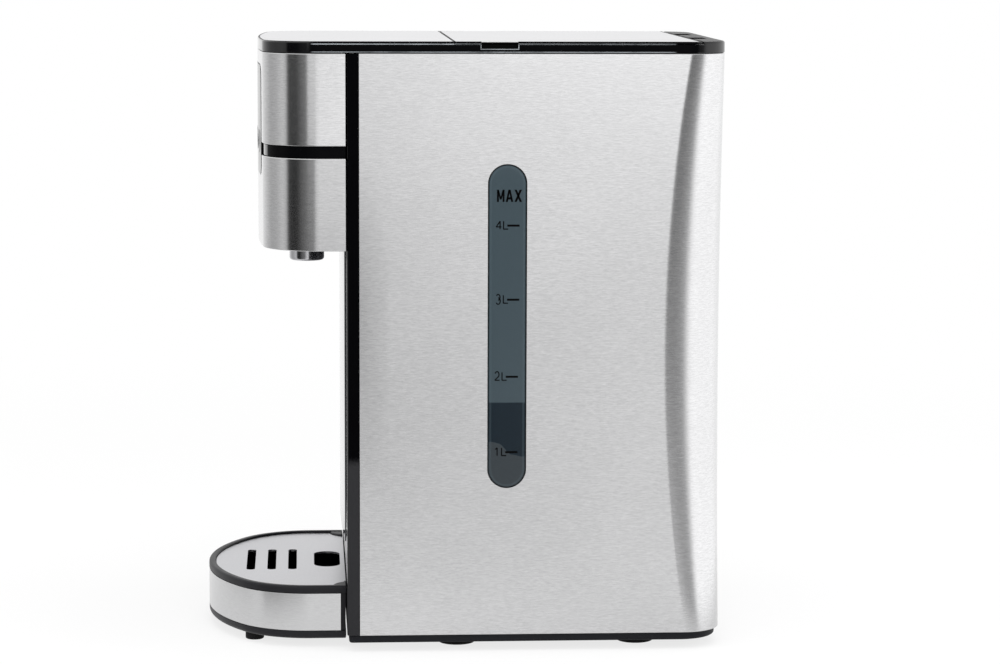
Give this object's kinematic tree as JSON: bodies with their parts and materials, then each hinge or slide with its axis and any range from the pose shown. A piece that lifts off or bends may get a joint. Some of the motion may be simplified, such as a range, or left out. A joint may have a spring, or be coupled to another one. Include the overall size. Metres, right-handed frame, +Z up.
{
  "type": "instant hot water dispenser",
  "caption": "Worktop hot water dispenser with a bowed overhanging head, side gauge window, top filling lid and pull-out drip tray.",
  "frame": {"origin": "on the supporting surface, under the middle of the whole object's outline", "axes": "+Z up, -Y towards the user (head, spout and drip tray), +X towards the side with the gauge window"},
  "size_m": [0.205, 0.303, 0.3553],
  "materials": {
    "brushed_steel": "brushed",
    "silver_sheet": "satin",
    "chrome": "polished",
    "heater_steel": "satin",
    "gloss_black": "gloss",
    "satin_black": "satin",
    "base_grey": "matte",
    "insert_grey": "satin",
    "display_glass": "gloss",
    "gauge_smoke": "smoked, half gloss",
    "tank_plastic": "translucent",
    "white_plastic": "satin",
    "rubber": "matte",
    "silicone": "satin",
    "board_green": "satin",
    "motor_zinc": "satin"
  },
  "bodies": {
    "housing": {"base_pan": "base_grey", "foot_front_left": "rubber", "foot_front_right": "rubber", "foot_rear_left": "rubber", "foot_rear_right": "rubber", "front_frame": "satin_black", "front_insert": "insert_grey", "steel_wrap": "brushed_steel", "gauge_window": "gauge_smoke", "head_lower_cover": "brushed_steel", "head_upper_cover": "brushed_steel", "head_band_left": "gloss_black", "head_band_right": "gloss_black", "head_chassis": "satin_black", "head_floor": "satin_black", "control_fascia": "gloss_black", "display_window": "display_glass", "control_board": "board_green", "spout_nozzle": "chrome", "top_frame": "gloss_black", "deck_plate": "silver_sheet", "hinge_pin_left": "heater_steel", "hinge_pin_right": "heater_steel", "water_tank": "tank_plastic", "tank_strainer": "white_plastic", "float_post": "white_plastic", "tank_shelf": "satin_black", "pump_housing": "white_plastic", "pump_cover": "white_plastic", "pump_motor": "motor_zinc", "pump_cradle": "rubber", "heater_tube": "heater_steel", "heater_saddle_lower": "white_plastic", "heater_saddle_upper": "white_plastic", "thermal_cutoff": "satin_black", "temperature_sensor": "heater_steel", "tank_hose": "silicone", "pump_hose": "silicone", "outlet_hose": "silicone", "power_board": "board_green", "mains_inlet": "satin_black"},
    "filling_lid": {"lid": "gloss_black", "lid_plate": "silver_sheet"},
    "drip_tray": {"tray_bowl": "satin_black", "tray_band": "brushed_steel", "tray_foot_left": "rubber", "tray_foot_right": "rubber"},
    "tray_plate": {"drip_plate": "silver_sheet"},
    "key_1": {"button_1": "satin_black"},
    "key_2": {"button_2": "satin_black"},
    "key_3": {"button_3": "satin_black"},
    "key_4": {"button_4": "satin_black"},
    "key_5": {"button_5": "satin_black"},
    "pump_rotor": {"pump_impeller": "white_plastic"},
    "float": {"level_float": "white_plastic"}
  },
  "joints": [
    {"name": "lid_hinge", "type": "hinge", "parent": "housing", "child": "filling_lid", "pos_m": [0, 0.141, 0.3512], "axis": [-1, 0, 0], "range_deg": [0, 95]},
    {"name": "tray_pull", "type": "slide", "parent": "housing", "child": "drip_tray", "axis": [0, -1, 0], "range_m": [0, 0.12]},
    {"name": "plate_lift", "type": "slide", "parent": "drip_tray", "child": "tray_plate", "axis": [0, 0, 1], "range_m": [0, 0.024]},
    {"name": "button_1_press", "type": "slide", "parent": "housing", "child": "key_1", "axis": [0, 1, 0], "range_m": [0, 0.0008], "stiffness_N_per_m": 400},
    {"name": "button_2_press", "type": "slide", "parent": "housing", "child": "key_2", "axis": [0, 1, 0], "range_m": [0, 0.0008], "stiffness_N_per_m": 400},
    {"name": "button_3_press", "type": "slide", "parent": "housing", "child": "key_3", "axis": [0, 1, 0], "range_m": [0, 0.0008], "stiffness_N_per_m": 400},
    {"name": "button_4_press", "type": "slide", "parent": "housing", "child": "key_4", "axis": [0, 1, 0], "range_m": [0, 0.0008], "stiffness_N_per_m": 400},
    {"name": "button_5_press", "type": "slide", "parent": "housing", "child": "key_5", "axis": [0, 1, 0], "range_m": [0, 0.0008], "stiffness_N_per_m": 400},
    {"name": "pump_spin", "type": "hinge", "parent": "housing", "child": "pump_rotor", "pos_m": [-0.03, 0.0495, 0.0313], "axis": [1, 0, 0], "continuous": true},
    {"name": "float_rise", "type": "slide", "parent": "housing", "child": "float", "axis": [0, 0, 1], "range_m": [0, 0.012]}
  ]
}
